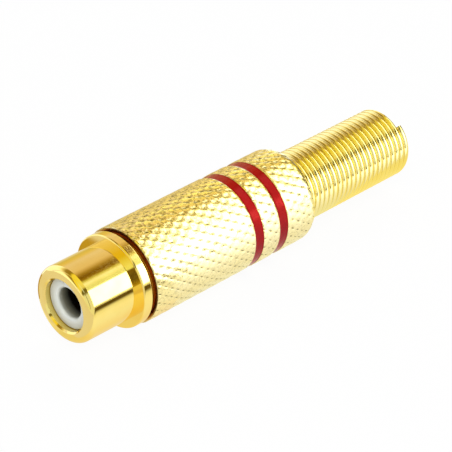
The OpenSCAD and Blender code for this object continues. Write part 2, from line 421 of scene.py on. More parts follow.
# %% Knurled finish
WHITE_GOLD = (0.97, 0.84, 0.42)
OLD_GOLD = (0.40, 0.33, 0.12)
PIT_SHADE = (0.07, 0.055, 0.02)

COVER_X, COVER_END, COVER_R = span("knurled_cover")


def knurled_finish():
    """Plating over a knurl: bright tips, speckle where the tool tore the metal, painted shade that darkens
    the flanks towards the hollows, and pits painted near black as shade. It is painted brown, as shade, where
    the mesh is marked for it."""
    material, tree, shader, place = finish("knurled_gold", Metallic=1.0)
    height = tree.mark("knurl_height")
    drift = speckle(tree, place, 2.2)
    grain = speckle(tree, place, 0.3, detail=3.0)
    hollow = (1.0 - height).limited()
    # The speckle grows strong above three quarters of the radius
    _, _, z = tree.parts(place)
    upper = (z / (COVER_R * MM)).rising(0.75, 6.0)
    # Random speckle, plus painted shade that grows towards the hollows
    speckle_and_shade = grain.rising(0.52, 14.0) * (upper * 0.5 + 0.25) + hollow * 0.4
    plated = tree.mixed(drift.rising(0.4, 2.0), (*PALE_GOLD, 1), (*WHITE_GOLD, 1))
    colour = tree.mixed(speckle_and_shade.limited(), plated, (*OLD_GOLD, 1))
    # The pits' painted shade sets in at 0.6 of the height and is full at a quarter of it
    colour = tree.mixed((1.75 - height * 2.8).limited(), colour, (*PIT_SHADE, 1))
    # Painted shade: brown at the cover's mouth, where the mesh is marked
    colour = tree.mixed(tree.mark("painted_shade"), colour, (*PAINTED_SHADE_BROWN, 1))
    gloss = 0.19 + hollow * 0.5 + (grain - 0.5) * 0.12
    link(tree, shader, Base_Color=colour, Roughness=gloss.most(0.05))
    link(tree, shader, Normal=bumped(tree, grain, 0.015))
    return material


KNURLED = knurled_finish()
print(f"{KNURLED.name}: {len(KNURLED.node_tree.nodes)} nodes")

# %% [markdown]
# ## Wire gold
# Plated wire is a paler, more lemon gold than the turned brass. Between the turns it is painted dull and
# dark: painted shade. How deep a place lies is its distance from the axis, under the outside of the
# coil, so one formula finds all the clefts.

# %% Wire finish
LEMON_GOLD = (0.94, 0.80, 0.315)
DEEP_LEMON = (0.93, 0.75, 0.225)
SHADE_BETWEEN_TURNS = (0.33, 0.25, 0.06)

COIL_R, WIRE_R = 3.92, 0.34


def wire_finish():
    """Drawn and plated wire, painted dark and rougher between the turns of the coil: painted shade."""
    material, tree, shader, place = finish("spring_gold", Metallic=1.0)
    _, y, z = tree.parts(place)
    deep = (COIL_R * MM - (y * y + z * z) ** 0.5) / (WIRE_R * MM)
    # Painted shade between the turns: darker and rougher with depth
    cleft_shade = deep.rising(0.3, 1.4) * 0.6
    drift = speckle(tree, place, 3.0)
    drawn = speckle(tree, place, 0.3, detail=4.0)
    plated = tree.mixed(drift.rising(0.45, 2.5), (*LEMON_GOLD, 1), (*DEEP_LEMON, 1))
    gloss = 0.13 + (drawn - 0.5) * 0.08 + cleft_shade * 0.25
    link(tree, shader, Base_Color=tree.mixed(cleft_shade, plated, (*SHADE_BETWEEN_TURNS, 1)))
    link(tree, shader, Roughness=gloss.most(0.04), Normal=bumped(tree, drawn, 0.001))
    return material


WIRE_GOLD = wire_finish()
print(f"{WIRE_GOLD.name}: {len(WIRE_GOLD.node_tree.nodes)} nodes")

# %% [markdown]
# ## Plastics, board and lacquer
# The insulator is moulded, the washer is pressed board and the sleeve is milky plastic. All have an even
# colour and a fine skin, so one function makes them, and the lacquer too. Shade is painted into the pin
# hole: a mark of 1 on the mesh is painted grey, and one of 2 is black.

# %% Plastic finish
# Painted shade in the pin hole: grey on the wall, black deeper in
HOLE_SHADE_GREY = (0.25, 0.25, 0.185)
DEEP_SHADE_BLACK = (0.01, 0.009, 0.007)


def plastic_finish(name, base, second, rough, grain_depth, **fixed):
    """Moulded or pressed stuff: an even colour with a faint drift, and a fine skin. It is darkened, as
    painted shade, where the mesh is marked for it."""
    material, tree, shader, place = finish(name, **fixed)
    drift = speckle(tree, place, 1.6, detail=3.0)
    skin = speckle(tree, place, 0.12, detail=4.0)
    # The mesh's mark of painted shade: 1 is grey, 2 is black
    shade_level = tree.mark("painted_shade")
    colour = tree.mixed(drift.rising(0.4, 2.2), (*base, 1), (*second, 1))
    colour = tree.mixed(shade_level, colour, (*HOLE_SHADE_GREY, 1))
    link(tree, shader, Base_Color=tree.mixed((shade_level - 1.0).limited(), colour, (*DEEP_SHADE_BLACK, 1)))
    link(tree, shader, Roughness=(rough + (skin - 0.5) * 0.25).limited())
    link(tree, shader, Normal=bumped(tree, skin, grain_depth))
    return material


PALE_PLASTIC = plastic_finish(
    "pale_insulator", base=(0.78, 0.82, 0.77), second=(0.84, 0.87, 0.82), rough=0.36, grain_depth=0.002
)
BOARD = plastic_finish(
    "brown_board", base=(0.16, 0.075, 0.03), second=(0.22, 0.11, 0.05), rough=0.75, grain_depth=0.01
)
MILKY = plastic_finish(
    "sleeve_plastic", base=(0.62, 0.65, 0.66), second=(0.70, 0.72, 0.72), rough=0.42, grain_depth=0.003
)
LACQUER = plastic_finish(
    "red_lacquer", base=(0.33, 0.001, 0.001), second=(0.40, 0.002, 0.002), rough=0.20, grain_depth=0.003,
    Metallic=0.12, Specular_IOR_Level=0.2, Specular_Tint=(1.0, 0.18, 0.15, 1.0),
)
print("materials:", ", ".join(m.name for m in bpy.data.materials))

# %% [markdown]
# ## The screw thread
# The socket's spigot and the cover's bore carry one fine thread. Cutting it with a boolean would be slow
# and leave slivers. Instead the rows of points along the thread lie close together, and a tree moves each
# point by a zigzag of its place along the axis less its share of a turn, which is exactly how a thread
# climbs.

# %% Thread
THREAD_PITCH, THREAD_CREST = 0.75, 0.12
# How far apart the rows of a thread lie, and how long it takes to fade in at each end
THREAD_ROW, THREAD_FADE = 0.065, 0.3


def thread_tree():
    tree, wire = geometry_tree("screw thread", ("Pitch", "Depth", "Crest"))
    x, y, z = tree.parts(tree.add("GeometryNodeInputPosition"))
    angle = z.math("ARCTAN2", z, y)
    climb = (x / wire["Pitch"] - angle / math.tau).zigzag()
    flank = ((climb - wire["Crest"]) / (1.0 - wire["Crest"] * 2.0)).limited()
    radius = (y * y + z * z) ** 0.5
    change = (radius + row_value(tree, "thread") * flank * wire["Depth"]) / radius
    shaped = moved(tree, wire["Geometry"], x, y * change, z * change)
    return closed_tree(tree, shaped, wire["Material"])


def thread_rows(start, end, radius):
    """Rows of points for a thread, and how much of its depth each row gets."""
    places = np.linspace(start, end, round(abs(end - start) / THREAD_ROW))
    share = np.clip(np.minimum(abs(places - start), abs(places - end)) / THREAD_FADE, 0, 1)
    return [complex(x, radius) for x in places], list(share)


def thread_values(depth, material):
    return {"Pitch": THREAD_PITCH * MM, "Depth": depth * MM, "Crest": THREAD_CREST, "Material": material}


THREAD = thread_tree()

# %% [markdown]
# ## The socket's shell
# One turned piece: the collar that the plug's shell springs over, the flange behind it and the threaded
# spigot that the cover screws on. Its front rim is rounded by 0.7 mm and the flange's nose by 0.16 mm, and
# those two roundings give the photo its light rings. The neck in the gap before the cover and the inside of
# the collar are marked and painted brown: painted shade.

# %% Shell
COLLAR_R, COLLAR_LEN, RIM_ROUND = 4.15, 6.3, 0.7
FLANGE_R, FLANGE_END, NOSE_ROUND = 5.06, 7.35, 0.16
BORE_R, MOUTH_BEVEL = 2.8, 0.2
NECK_R, SEAT_R, LIP_R = 4.175, 3.4, 3.1
HEAD_X, LIP_X = 8.0, 11.4
_, SPIGOT_END, _ = span("socket_shell")
# The thread's rows start just inside the cover and end before the spigot's plain end
THREAD_IN, THREAD_OUT, PLAIN_END = 0.05, 0.3, 0.24
SPIGOT_THREAD_DEPTH = 0.21
# The stretch of the neck that is painted brown: painted shade in the gap
GAP_MID, GAP_HALF = 7.75, 0.45
# How strongly the inside of the collar is painted brown: painted shade
BORE_SHADE = 0.7
# Less than NEAR apart, two radii are the same. A mark on the mesh starts a margin past an edge.
NEAR, MARGIN = 0.01, 0.1
SHELL_STEPS = 192


def shell_mesh():
    front = softened([
        (MOUTH_BEVEL, BORE_R, 0.04), (0, BORE_R + MOUTH_BEVEL, 0.05), (0, COLLAR_R, RIM_ROUND),
        (COLLAR_LEN, COLLAR_R, 0), (COLLAR_LEN, FLANGE_R, NOSE_ROUND), (FLANGE_END, FLANGE_R, 0.05),
        (FLANGE_END, NECK_R, 0.05), (COVER_X, NECK_R, 0), (SPIGOT_END - PLAIN_END, NECK_R, 0),
        (SPIGOT_END, NECK_R, 0.04), (SPIGOT_END, LIP_R, 0.06), (LIP_X, LIP_R, 0.03), (LIP_X, SEAT_R, 0.03),
        (HEAD_X, SEAT_R, 0.03), (HEAD_X, BORE_R, 0.03),
    ])
    cut = front.index(complex(COVER_X, NECK_R)) + 1
    rows, share = thread_rows(COVER_X + THREAD_IN, SPIGOT_END - THREAD_OUT, NECK_R)
    line = front[:cut] + rows + front[cut:]
    thread = [0] * cut + share + [0] * (len(front) - cut)
    x, r = np.real(line), np.imag(line)
    # Painted shade: the neck in the gap, and the collar's bore by a share
    neck = (abs(x - GAP_MID) < GAP_HALF) & (r > NECK_R - NEAR) & (r < FLANGE_R - MARGIN)
    bore = (x > MOUTH_BEVEL + MARGIN) & (r < BORE_R + NEAR)
    painted_shade = np.maximum(neck, BORE_SHADE * bore)
    return turned("socket_shell", line, SHELL_STEPS, {"thread": thread, "painted_shade": painted_shade})


piece(
    "turned_shell", grown(shell_mesh(), (THREAD, thread_values(SPIGOT_THREAD_DEPTH, POLISHED))),
    "socket", "socket_shell",
)

# %% [markdown]
# ## The insulator
# A pale moulding fills the collar and carries the contact. Its face lies 0.75 mm back, and the pin hole has
# a rounded mouth where the mould's core met the face. It is turned as the shell is, and painted shade is
# marked on it: grey down the hole's wall, black deep inside, and faint grey along the rim of its face.

# %% Insulator
PIN_HOLE_R, HOLE_ROUND, PRESS_GAP = 1.65, 0.3, 0.02
CONTACT_X, _, CONTACT_R = span("centre_contact")
HOUSING_R = CONTACT_R + PRESS_GAP
# Painted shade: the wall of the hole gets grey from this far behind its face, over this length
SHADE_START, SHADE_LEN = 0.2, 0.3
# Painted shade: the face is a little grey this close to its rim, and the space behind the hole is black
RIM_SHADE, RIM_BAND, BLACK_SHADE = 0.35, 0.15, 2.0
INSULATOR_STEPS = 144


def insulator_mesh():
    bore, seat, head = BORE_R - PRESS_GAP, SEAT_R - PRESS_GAP, HEAD_X + PRESS_GAP / 2
    line = softened([
        (FACE_X, PIN_HOLE_R, HOLE_ROUND), (FACE_X, bore, 0.1), (head, bore, 0.02), (head, seat, 0.05),
        (WASHER_X, seat, 0.05), (WASHER_X, HOUSING_R, 0.03), (CONTACT_X, HOUSING_R, 0.03),
        (CONTACT_X, PIN_HOLE_R, 0.03),
    ])
    x, r = np.real(line), np.imag(line)
    # Painted shade: grey down the hole's wall, black behind the hole, faint grey at the face's rim
    wall = np.clip((x - FACE_X - SHADE_START) / SHADE_LEN, 0, 1) * (r < PIN_HOLE_R + MARGIN / 2)
    deep = BLACK_SHADE * ((x > CONTACT_X - MARGIN) & (r < HOUSING_R + NEAR))
    edge = RIM_SHADE * ((x < FACE_X + SHADE_START + SHADE_LEN) & (r > bore - RIM_BAND))
    painted_shade = np.max([wall, deep, edge], axis=0)
    return turned("front_insulator", line, INSULATOR_STEPS, {"painted_shade": painted_shade})


piece("moulded_insulator", insulator_mesh(), "socket", "front_insulator", PALE_PLASTIC)

# %% [markdown]
# ## The knurl
# A knurling tool rolls two sets of grooves, one climbing to the left and one to the right, and leaves
# diamonds between them. Here they are shallow, the diamonds are rounded like pillows, and only the pits
# where two grooves cross are deep. A tree sinks each point of a fine grid by both grooves. Displacement
# would do the same from a picture of the knurl, but the formula has no picture, stays sharp and closes
# round the cover without a seam.

# %% Knurl tree
# How often the tool's pressure changes over the cover, in waves per metre
PRESSURE_WAVES = 700.0


def knurl_tree():
    numbers = ("Length", "Depth", "Groove", "Sharpness", "Pit length", "Pit width", "Unevenness")
    tree, wire = geometry_tree("diamond knurl", numbers, counts=["Across"])
    place = tree.add("GeometryNodeInputPosition")
    x, y, z = tree.parts(place)
    way, knurl, roof, lean = (row_value(tree, label) for label in ("way", "knurl", "roof", "lean"))
    angle = z.math("ARCTAN2", z, y)
    along, round_it = way * MM / wire["Length"], angle / math.tau * wire["Across"]
    one, two = 1.0 - (along + round_it).zigzag(), 1.0 - (along - round_it).zigzag()
    rolled = tree.add("ShaderNodeTexNoise", None, {"Vector": place, "Scale": PRESSURE_WAVES, "Detail": 1.0})
    pressed = 1.0 + (rolled - 0.5) * wire["Unevenness"]
    grooves = (one ** wire["Sharpness"] + two ** wire["Sharpness"]) * wire["Groove"]
    pits = one ** wire["Pit length"] * two ** wire["Pit width"]
    cut = grooves + pits * (1.0 - wire["Groove"] * 2.0)
    height = (1.0 - cut * pressed).limited().least(roof)
    sink = (height - 1.0) * wire["Depth"] * knurl
    radius = (y * y + z * z) ** 0.5
    change = (radius + sink * (1.0 - lean * lean) ** 0.5) / radius
    shaped = moved(tree, wire["Geometry"], x + sink * lean, y * change, z * change)
    kept = tree.add(
        "GeometryNodeStoreNamedAttribute", {"data_type": "FLOAT", "domain": "POINT"},
        {"Geometry": shaped, "Name": "knurl_height", "Value": height * knurl + (1.0 - knurl)},
    )
    return closed_tree(tree, kept, wire["Material"])


KNURL = knurl_tree()

# %% [markdown]
# ## The knurled cover
# The cover is a tube with two grooves for the bands, a rounded rear edge and a narrower rear hole that
# holds the spring back. Its section is a list of rows, and each row says how the trees may move it. A
# diamond gets fourteen rows along the cover and twelve steps round it, which keeps the piece under 200,000
# triangles.

# %% Cover's rows
CORE_R, COVER_BORE_R, REAR_HOLE_R = 4.92, 4.45, 4.0
HOLE_X, SEAT_X, REAR_ROUND = 29.6, 28.9, 1.1
MOUTH_EDGE, HOLE_EDGE = 0.1, 0.08
BANDS = [span(name)[:2] for name in ("front_band", "rear_band")]
KNURL_LEN, KNURL_DEPTH, DIAMONDS = 1.65, 0.12, 30
ROWS_PER_DIAMOND, STEPS_PER_DIAMOND = 14, 12
# The knurl runs out at nine tenths of the rear rounding, and is this low at its ends, over this length
KNURLED_BEND, END_HEIGHT, END_LEN = 0.9, 0.55, 0.12
ROW_LABELS = ("way", "knurl", "roof", "lean", "thread")


def cover_rows():
    """The cover's section as rows: a point, then the way along the knurl, knurl 0 or 1, the most that the
    knurl may rise, how far it leans to the rear, and the share of the thread."""
    rows = []

    def plain(x, r, thread=0.0):
        rows.append((complex(x, r), 0.0, 0.0, 1.0, 0.0, thread))

    def knurled(start, end, bent=False):
        straight = end - start - (REAR_ROUND if bent else 0)
        total = straight + (REAR_ROUND * math.pi / 2 * KNURLED_BEND if bent else 0)
        count = round(total / KNURL_LEN * ROWS_PER_DIAMOND)
        for way in np.linspace(0, total, count + 1):
            turn = max(0.0, way - straight) / REAR_ROUND
            x = start + min(way, straight) + REAR_ROUND * math.sin(turn)
            r = COVER_R - REAR_ROUND + REAR_ROUND * math.cos(turn)
            edge = way if bent else min(way, total - way)
            roof = min(1.0, END_HEIGHT + edge / END_LEN * (1 - END_HEIGHT))
            rows.append((complex(x, r), start + way, 1.0, roof, math.sin(turn), 0.0))

    start = COVER_X
    for front, rear in BANDS:
        knurled(start, front)
        plain(front, CORE_R)
        plain(rear, CORE_R)
        start = rear
    knurled(start, COVER_END, bent=True)
    plain(COVER_END, REAR_HOLE_R + HOLE_EDGE)
    plain(COVER_END - HOLE_EDGE, REAR_HOLE_R)
    plain(HOLE_X, REAR_HOLE_R)
    plain(SEAT_X, COVER_BORE_R)
    places, share = thread_rows(SPIGOT_END + THREAD_OUT, COVER_X + 2 * MOUTH_EDGE, COVER_BORE_R)
    for place, part in zip(places, share):
        plain(place.real, place.imag, part)
    plain(COVER_X + MOUTH_EDGE, COVER_BORE_R)
    plain(COVER_X, COVER_BORE_R + MOUTH_EDGE)
    plain(COVER_X, CORE_R - NEAR)
    return rows


cover_line, *cover_marks = zip(*cover_rows())
print("the cover's section has", len(cover_line), "rows")

# %% Cover
# The mouth is painted brown over this length: painted shade in the gap before the flange
BORE_THREAD_DEPTH, MOUTH_SHADE_LEN = 0.16, 0.3
knurl_values = {
    "Across": DIAMONDS, "Length": KNURL_LEN * MM, "Depth": KNURL_DEPTH * MM, "Groove": 0.15,
    "Sharpness": 3.0, "Pit length": 1.0, "Pit width": 6.0, "Unevenness": 0.5, "Material": KNURLED,
}
marks = dict(zip(ROW_LABELS, cover_marks))
# Painted shade: the cover's front face and the start of its bore
marks["painted_shade"] = [float(p.real < COVER_X + MOUTH_SHADE_LEN and p.imag < CORE_R) for p in cover_line]
blank = turned("knurled_cover", cover_line, DIAMONDS * STEPS_PER_DIAMOND, marks)
piece(
    "diamond_knurled_cover",
    grown(blank, (KNURL, knurl_values), (THREAD, thread_values(BORE_THREAD_DEPTH, KNURLED))),
    "cover", "knurled_cover",
)

# %% [markdown]
# ## The red bands
# Lacquer runs into two turned grooves and stops just under the tips of the knurl. Wet lacquer climbs a
# little at the groove's walls before it sets, so each band is a ring with slightly raised edges.

# %% Bands
_, _, BAND_R = span("front_band")
CLIMB, BAND_PLAY = 0.02, 0.005
BAND_ROWS, BAND_STEPS = 15, 240


def band_mesh(name, front, rear):
    start, end, low = front + BAND_PLAY, rear - BAND_PLAY, CORE_R + BAND_PLAY
    top = [
        complex(start + share * (end - start), BAND_R - CLIMB + CLIMB * (2 * share - 1) ** 6)
        for share in np.linspace(0, 1, BAND_ROWS)
    ]
    return turned(name, [complex(start, low), *top, complex(end, low)], BAND_STEPS)


for name, (front, rear) in zip(("front_band", "rear_band"), BANDS):
    piece("lacquered_" + name, band_mesh(name, front, rear), "cover", name, LACQUER)

# %% [markdown]
# ## The wound spring
# The cable leaves through a close-wound coil. Wire is a curve with a round profile, so the tree sets the
# points of a line on a left-hand helix whose wide inner end sits in front of the cover's rear hole, and
# sweeps a circle along it. Each turn strays a few thousandths of a millimetre, as wound wire does.

# %% Spring tree
def spring_tree():
    numbers = (
        "Start", "End", "Pitch", "Wire", "Radius", "Wide", "Narrow at", "Slope", "Tip angle", "Stray",
    )
    tree, wire = geometry_tree("wound spring", numbers, counts=["Points", "Sides"])
    line = tree.add("GeometryNodeCurvePrimitiveLine")
    line = tree.add("GeometryNodeResampleCurve", None, {"Curve": line, "Count": wire["Points"]})
    share = tree.add("GeometryNodeSplineParameter", output="Factor")
    x = wire["Start"] + share * (wire["End"] - wire["Start"])
    turns = (wire["End"] - x) / wire["Pitch"]
    angle = wire["Tip angle"] + turns * math.tau
    across, up = angle.math("COSINE", angle), angle.math("SINE", angle)
    slope = wire["Wide"] - (x - wire["Narrow at"]) * wire["Slope"]
    radius = slope.least(wire["Wide"]).most(wire["Radius"])
    # The stray differs from turn to turn, so its noise reads the number of the turn
    turn_number = tree.add("ShaderNodeCombineXYZ", None, {"X": turns, "Y": across})
    stray = tree.add("ShaderNodeTexNoise", None, {"Vector": turn_number, "Scale": 0.9, "Detail": 0.0})
    radius = radius + (stray - 0.5) * wire["Stray"]
    wound = moved(tree, line, x, radius * across, radius * up)
    profile = tree.add(
        "GeometryNodeCurvePrimitiveCircle", {"mode": "RADIUS"},
        {"Resolution": wire["Sides"], "Radius": wire["Wire"]},
    )
    tube = tree.add(
        "GeometryNodeCurveToMesh", None, {"Curve": wound, "Profile Curve": profile, "Fill Caps": True}
    )
    smooth = tree.add("GeometryNodeSetShadeSmooth", None, {"Geometry": tube})
    return closed_tree(tree, smooth, wire["Material"])


SPRING = spring_tree()

# %% Spring
TURN_PITCH, COIL_MID, WIDE_MID, STRAY = 0.70, 3.58, 4.03, 0.012
FLARE_X, NARROW_X, TIP_ANGLE = 27.8, 28.7, 130.0
_, COIL_END, _ = span("relief_spring")
STEPS_PER_TURN, WIRE_SIDES = 72, 24
coil_turns = (COIL_END - WIRE_R - FLARE_X) / TURN_PITCH
spring_values = {
    "Points": round(coil_turns * STEPS_PER_TURN), "Start": FLARE_X * MM, "End": (COIL_END - WIRE_R) * MM,
    "Pitch": TURN_PITCH * MM, "Wire": WIRE_R * MM, "Radius": COIL_MID * MM, "Wide": WIDE_MID * MM,
    "Narrow at": NARROW_X * MM, "Slope": (WIDE_MID - COIL_MID) / TURN_PITCH,
    "Tip angle": math.radians(TIP_ANGLE), "Stray": STRAY * MM, "Sides": WIRE_SIDES, "Material": WIRE_GOLD,
}
piece(
    "wound_spring", grown(bpy.data.meshes.new("relief_spring"), (SPRING, spring_values)),
    "spring", "relief_spring",
)
print(f"the coil has {coil_turns:.1f} turns")

# %% [markdown]
# ## The inner pieces
# The contact, washer, lug and sleeve are hidden until the cover comes off. Their CAD shapes are right as
# they are, so they stay and only get their finishes.

# %% Inner finishes
INNER = {
    "centre_contact": CONTACT_GOLD, "rear_insulator": BOARD, "ground_lug": LUG_GOLD,
    "insulating_sleeve": MILKY,
}
for name, material in INNER.items():
    for slot in nodes[name].material_slots:
        slot.material = material
print("inner nodes:", ", ".join(INNER))

# %% [markdown]
# ## Floor and world
# The photo is a product shot on white. The floor is plain and pale and keeps a soft shadow. A white floor
# that was lit until it is white would also flood the object with light, so the camera and mirrored rays see
# the floor and the world as plain white, while the light that they give stays plain.

# %% Floor and world
FLOOR_Z, FLOOR_HALF = -COVER_R, 3000
WORLD_LEVEL, PAPER = 0.55, (0.95, 0.95, 0.95)
# How much of the floor's white metal mirrors, and how much of the floor is plain white, the rest being lit
MIRRORED_WHITE, WHITE_SHARE = 0.7, 0.95


def shown_white(tree, mirrored=1.0):
    """1 for a ray from the camera or a look through glass, so that these see plain white. Reflections see it
    too, or a share of it."""
    rays = tree.add("ShaderNodeLightPath", output="Is Camera Ray")
    glossy, through = tree.other(rays, "Is Glossy Ray"), tree.other(rays, "Is Transmission Ray")
    return rays.most(glossy * mirrored).most(through)


def studio_sheet(name, points, faces, material):
    """A sheet of the studio, which isn't part of the object, from its points in millimetres."""
    mesh = bpy.data.meshes.new(name)
    mesh.from_pydata([Vector(p) * MM for p in points], [], faces)
    mesh.materials.append(material)
    made = bpy.data.objects.new(name, mesh)
    bpy.context.scene.collection.objects.link(made)
    return made


world = bpy.data.worlds.new("studio")
world.use_nodes = True
bpy.context.scene.world = world
sky = Tree(world.node_tree)
plain_light = sky.add("ShaderNodeBackground", None, {"Color": (1, 1, 1, 1), "Strength": WORLD_LEVEL})
white = sky.add("ShaderNodeBackground", None, {"Color": (1, 1, 1, 1), "Strength": 1.0})
seen = sky.add("ShaderNodeMixShader", None, {0: shown_white(sky), 1: plain_light, 2: white})
sky.add("ShaderNodeOutputWorld", None, {"Surface": seen})

paper = bpy.data.materials.new("white_paper")
paper.use_nodes = True
sheet = Tree(paper.node_tree)
matt = sheet.add("ShaderNodeBsdfDiffuse", None, {"Color": (*PAPER, 1)})
glow = sheet.add("ShaderNodeEmission", None, {"Color": (1, 1, 1, 1), "Strength": 1.0})
whitened = shown_white(sheet, MIRRORED_WHITE) * WHITE_SHARE
lit = sheet.add("ShaderNodeMixShader", None, {0: whitened, 1: matt, 2: glow})
sheet.add("ShaderNodeOutputMaterial", None, {"Surface": lit})

floor_corners = [(FLOOR_HALF * x, FLOOR_HALF * y, FLOOR_Z) for x, y in ((-1, -1), (1, -1), (1, 1), (-1, 1))]
studio_sheet("floor", floor_corners, [(0, 1, 2, 3)], paper)
print("floor at", FLOOR_Z, "mm")

# %% [markdown]
# ## A light tent
# Polished metal only shows what stands round it, so the lamps matter less than what it mirrors. A
# photographer puts a shiny thing in a tent of cloth, bright in some places and dark in others, and that is
# built here too. Collar, cover and spring mirror other stretches of the tent, so each has its own cloth. A
# cloth's glow changes with its angle round the axis, and the angles and glows were chosen. The
# cloths are seen in reflections only. They light nothing, so the object looks right under other light too.

# %% Tent helpers
CAMERA_PLACE = (-127.98, -151.31, 130.34)
CAMERA_RIGHT, CAMERA_UP = (0.7089, -0.7053, 0.0), (0.3686, 0.3705, 0.8526)
CAMERA_BACK = (-0.6013, -0.6044, 0.5226)
CAMERA_TILT = math.atan2(CAMERA_BACK[2], CAMERA_BACK[1])
# The camera's place along the axis and its distance from it, which say where a mirrored ray goes
CAMERA_X, CAMERA_R = CAMERA_PLACE[0], round(math.hypot(*CAMERA_PLACE[1:]), 1)
TENT_R, CLOTH_STEP = 120.0, 2.0
# Cloths end above the floor, and one that lies further in ends higher, by a share of its distance
ABOVE_FLOOR, LAYER_RISE = 0.2, 0.05
# Folds are 15 degrees apart. They begin above an angle and reach their full depth 10 degrees further up.
FOLD_TURN, FOLDS_FROM, FOLDS_GROW = 15.0, -60.0, 10.0


def mirrored(x, reach):
    """Where a ray that the connector mirrors at x is, once it has gone out by a reach."""
    return x + reach * (x - CAMERA_X) / CAMERA_R


def glowing(name, points, faces, glows):
    """A sheet that glows with the colours of its points, and is seen in reflections only."""
    material = bpy.data.materials.new(name)
    material.use_nodes = True
    tree = Tree(material.node_tree)
    glow = tree.add("ShaderNodeEmission", None, {"Color": tree.mark("glow", "Color"), "Strength": 1.0})
    tree.add("ShaderNodeOutputMaterial", None, {"Surface": glow})
    made = studio_sheet(name, points, faces, material)
    layer = made.data.attributes.new("glow", "FLOAT_COLOR", "POINT")
    layer.data.foreach_set("color", np.array([(*glow, 1.0) for glow in glows], np.float32).ravel())
    made.visible_camera = made.visible_diffuse = made.visible_shadow = made.visible_transmission = False
    print(f"{name}: {len(faces)} faces")


def glow_at(stops, turn):
    """The glow at an angle, between stops of (angle, red, green, blue)."""
    return [np.interp(turn, stops[:, 0], stops[:, k]) for k in (1, 2, 3)]


def cloth(name, radius, seen, *stops, folds=0.0):
    """Cloth round the axis, cut where it meets the floor. seen is the stretch of the connector in which the
    camera sees it mirrored. Its stops are (angle, red, green, blue), the angle 0 on the camera's side and
    growing downwards, and the glow changes evenly between them. Above, its glow rises and falls by the share
    folds, as if it hung in folds."""
    stops = np.array(stops, float)
    points, glows = [], []
    for turn in np.unique([*np.arange(stops[0, 0], stops[-1, 0], CLOTH_STEP), *stops[:, 0]]):
        angle = CAMERA_TILT + math.radians(turn)
        up = math.sin(angle)
        ground = FLOOR_Z + ABOVE_FLOOR + (TENT_R - radius) * LAYER_RISE
        reach = min(radius, ground / up) if up < 0 else radius
        folded = min(1.0, max(0.0, (FOLDS_FROM - turn) / FOLDS_GROW))
        fold = 1.0 + folds * math.sin(turn * math.tau / FOLD_TURN) * folded
        for x in seen:
            points.append((mirrored(x, reach), reach * math.cos(angle), reach * up))
            glows.append([share * fold for share in glow_at(stops, turn)])
    glowing(name, points, [(k, k + 1, k + 3, k + 2) for k in range(0, len(points) - 2, 2)], glows)


print(f"the camera is {CAMERA_R} mm from the axis, at x {CAMERA_X} mm")

# %% Cloths that the spring mirrors
SPRING_SEEN = (-330, 108)
cloth(
    "tent_round_spring", TENT_R, SPRING_SEEN,
    (-180, 1.25, 1.42, 1.90), (-148, 1.25, 1.42, 1.85), (-134, 1.18, 1.28, 1.50), (-112, 1.22, 1.33, 1.60),
    (-102, 1.15, 1.20, 1.30), (-93, 0.80, 0.70, 0.45), (-84, 0.38, 0.26, 0.08), (-68, 0.31, 0.21, 0.02),
    (-60, 0.98, 0.82, 0.12), (-40, 0.95, 0.84, 0.14), (-28, 0.95, 0.88, 0.36), (-19, 0.86, 0.80, 0.40),
    (-13, 0.17, 0.14, 0.03), (-4, 0.19, 0.16, 0.04), (3, 0.85, 0.95, 1.08), (50, 0.90, 0.93, 0.90),
    (72, 1.00, 0.92, 0.50), (120, 1.08, 0.99, 0.55), (150, 0.95, 0.92, 0.70), (180, 0.95, 0.95, 0.85),
)
cloth(
    "tent_by_the_camera", TENT_R - 0.5, (-99, -88),
    (-180, 1.00, 1.00, 1.00), (-128, 0.95, 0.95, 1.30), (-96, 0.88, 0.85, 0.95), (-80, 0.88, 0.84, 0.60),
    (-64, 0.85, 0.75, 0.18), (-48, 0.80, 0.75, 0.12), (-32, 0.90, 1.05, 0.90), (-16, 1.00, 1.25, 1.80),
    (-8, 1.00, 1.30, 1.80), (-4, 0.20, 0.15, 0.04), (10, 0.12, 0.09, 0.03), (24, 0.13, 0.10, 0.03),
    (36, 0.32, 0.26, 0.03), (48, 0.68, 0.60, 0.12), (60, 0.90, 0.80, 0.40),
)

# %% [markdown]
# ## What the mouth and the tent's end mirror
# The rounded rim and the flange's face also mirror the floor before and beside the mouth. A pale sheet lies
# there, with a brown shade beside it. Past the spring the tent is closed by a disc, which the flanks of the
# wires mirror. The disc is a fan round its middle, so that its glow can change with the angle.

# %% Sheets on the floor
NEUTRAL, BROWN_SHADE = (0.84, 0.80, 0.85), (0.54, 0.36, 0.05)
SHEET_CORNERS = ((-90, -25), (-2, -25), (-2, 90), (-90, 90))
SHADE_X, SHADE_Y = (-3.3, -2.6, 5), (9, 24)
glowing(
    "sheet_before_mouth", [(x, y, FLOOR_Z + ABOVE_FLOOR * 2) for x, y in SHEET_CORNERS], [(0, 1, 2, 3)],
    [NEUTRAL] * 4,
)
glowing(
    "shade_beside_mouth", [(x, y, FLOOR_Z + ABOVE_FLOOR * 2.5) for x in SHADE_X for y in SHADE_Y],
    [(0, 2, 3, 1), (2, 4, 5, 3)], [NEUTRAL] * 2 + [BROWN_SHADE] * 4,
)

